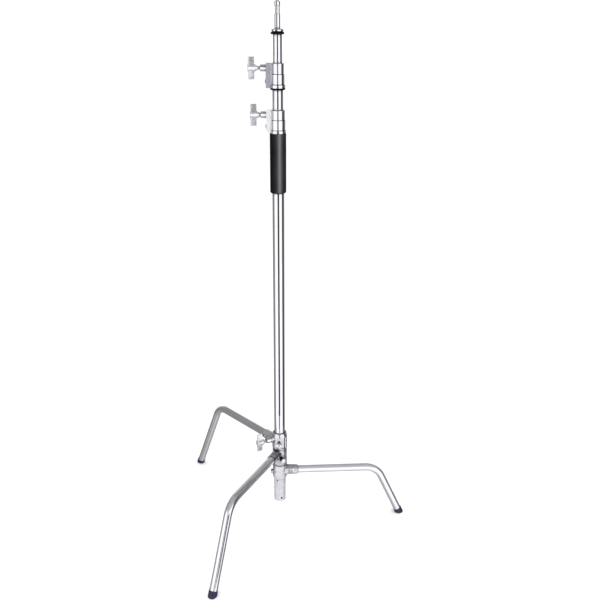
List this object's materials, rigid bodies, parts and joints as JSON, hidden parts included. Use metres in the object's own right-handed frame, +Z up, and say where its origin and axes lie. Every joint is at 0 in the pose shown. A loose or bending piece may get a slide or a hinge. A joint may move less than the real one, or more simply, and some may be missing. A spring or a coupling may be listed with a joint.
{
  "type": "c-stand",
  "caption": "Free-standing lighting stand: telescoping mast with T-handle clamp collars and a spigot, on a detachable three-leg base with staggered folding legs.",
  "frame": {"origin": "where the mast's axis meets the floor", "axes": "+Z up the mast to the spigot; the low leg points along +X, 2 degrees toward +Y"},
  "size_m": [0.7304, 0.7599, 1.6295],
  "materials": {
    "chrome_tube": "polished",
    "cast_metal": "satin cast texture under chrome",
    "collar_chrome": "turned and polished",
    "handle_chrome": "cast and plated",
    "plain_steel": "plain",
    "spring_steel": "drawn wire",
    "brass": "plain",
    "nylon": "natural nylon",
    "black_rubber": "matte",
    "grip_foam": "fine satin foam rubber",
    "foot_plastic": "dark navy plastic"
  },
  "bodies": {
    "base": {"low_leg_casting": "cast_metal", "centre_post": "plain_steel", "low_leg_tube": "chrome_tube", "low_leg_foot": "foot_plastic", "low_leg_rivet": "plain_steel", "post_lock_screw": "plain_steel", "post_roll_pin": "plain_steel", "lower_thrust_washer": "nylon"},
    "mid_leg": {"mid_leg_casting": "cast_metal", "mid_leg_tube": "chrome_tube", "mid_leg_foot": "foot_plastic", "mid_leg_rivets": "plain_steel", "upper_thrust_washer": "nylon", "mid_plunger_spring": "spring_steel", "mid_plunger_bush": "plain_steel"},
    "mid_plunger": {"mid_plunger_pin": "plain_steel", "mid_plunger_knob": "handle_chrome"},
    "top_leg": {"top_leg_casting": "cast_metal", "top_leg_tube": "chrome_tube", "top_leg_foot": "foot_plastic", "top_leg_rivets": "plain_steel", "top_plunger_spring": "spring_steel", "top_plunger_bush": "plain_steel", "base_clamp_bush": "collar_chrome"},
    "top_plunger": {"top_plunger_pin": "plain_steel", "top_plunger_knob": "handle_chrome"},
    "base_clamp_shoe": {"base_brake_shoe": "brass"},
    "base_clamp_handle": {"base_t_handle": "handle_chrome", "base_clamp_screw": "plain_steel"},
    "column": {"junior_stud": "plain_steel", "column_tube": "chrome_tube", "grip_sleeve": "grip_foam", "column_collar": "collar_chrome", "column_collar_screw": "plain_steel", "column_guide_bush": "nylon", "column_clamp_bush": "collar_chrome"},
    "column_clamp_shoe": {"column_brake_shoe": "brass"},
    "column_clamp_handle": {"column_t_handle": "handle_chrome", "column_clamp_screw": "plain_steel"},
    "lower_riser": {"lower_riser_tube": "chrome_tube", "lower_riser_slider": "nylon", "lower_riser_bumper": "black_rubber", "riser_collar": "collar_chrome", "riser_collar_screw": "plain_steel", "riser_guide_bush": "nylon", "riser_clamp_bush": "collar_chrome"},
    "riser_clamp_shoe": {"riser_brake_shoe": "brass"},
    "riser_clamp_handle": {"riser_t_handle": "handle_chrome", "riser_clamp_screw": "plain_steel"},
    "upper_riser": {"upper_riser_tube": "chrome_tube", "upper_riser_slider": "nylon", "upper_riser_bumper": "black_rubber", "top_flange": "chrome_tube", "spigot": "chrome_tube", "spigot_pin": "plain_steel"}
  },
  "joints": [
    {"name": "mid_leg_fold", "type": "hinge", "parent": "base", "child": "mid_leg", "pos_m": [0, 0, 0.248], "axis": [0, 0, 1], "range_deg": [0, 111]},
    {"name": "top_leg_fold", "type": "hinge", "parent": "base", "child": "top_leg", "pos_m": [0, 0, 0.2853], "axis": [0, 0, 1], "range_deg": [-121, 0]},
    {"name": "mid_plunger_pull", "type": "slide", "parent": "mid_leg", "child": "mid_plunger", "axis": [0.342, -0.9397, 0], "range_m": [0, 0.0025], "stiffness_N_per_m": 1500, "springref_m": -0.004, "deforming": ["mid_plunger_spring"]},
    {"name": "top_plunger_pull", "type": "slide", "parent": "top_leg", "child": "top_plunger", "axis": [-0.0698, -0.9976, 0], "range_m": [0, 0.0025], "stiffness_N_per_m": 1500, "springref_m": -0.004, "deforming": ["top_plunger_spring"]},
    {"name": "base_shoe_slide", "type": "slide", "parent": "top_leg", "child": "base_clamp_shoe", "axis": [-0.8829, -0.4695, 0], "range_m": [0, 0.00225]},
    {"name": "base_handle_turn", "type": "hinge", "parent": "base_clamp_shoe", "child": "base_clamp_handle", "pos_m": [0, 0, 0.301], "axis": [-0.8829, -0.4695, 0], "range_deg": [0, 540]},
    {"name": "column_lift_out", "type": "slide", "parent": "base", "child": "column", "axis": [0, 0, 1], "range_m": [0, 0.145]},
    {"name": "column_shoe_slide", "type": "slide", "parent": "column", "child": "column_clamp_shoe", "axis": [-1, 0, 0], "range_m": [0, 0.00225]},
    {"name": "column_handle_turn", "type": "hinge", "parent": "column_clamp_shoe", "child": "column_clamp_handle", "pos_m": [0, 0, 1.329], "axis": [-1, 0, 0], "range_deg": [0, 540]},
    {"name": "lower_riser_slide", "type": "slide", "parent": "column", "child": "lower_riser", "axis": [0, 0, 1], "range_m": [-0.0545, 0.8]},
    {"name": "riser_shoe_slide", "type": "slide", "parent": "lower_riser", "child": "riser_clamp_shoe", "axis": [-1, 0, 0], "range_m": [0, 0.00225]},
    {"name": "riser_handle_turn", "type": "hinge", "parent": "riser_clamp_shoe", "child": "riser_clamp_handle", "pos_m": [0, 0, 1.455], "axis": [-1, 0, 0], "range_deg": [0, 540]},
    {"name": "upper_riser_slide", "type": "slide", "parent": "lower_riser", "child": "upper_riser", "axis": [0, 0, 1], "range_m": [-0.0745, 0.799]}
  ],
  "couplings": [
    {"joint": "base_handle_turn", "follows": "base_shoe_slide", "rad_per_m": 4188.8},
    {"joint": "column_handle_turn", "follows": "column_shoe_slide", "rad_per_m": 4188.8},
    {"joint": "riser_handle_turn", "follows": "riser_shoe_slide", "rad_per_m": 4188.8}
  ]
}
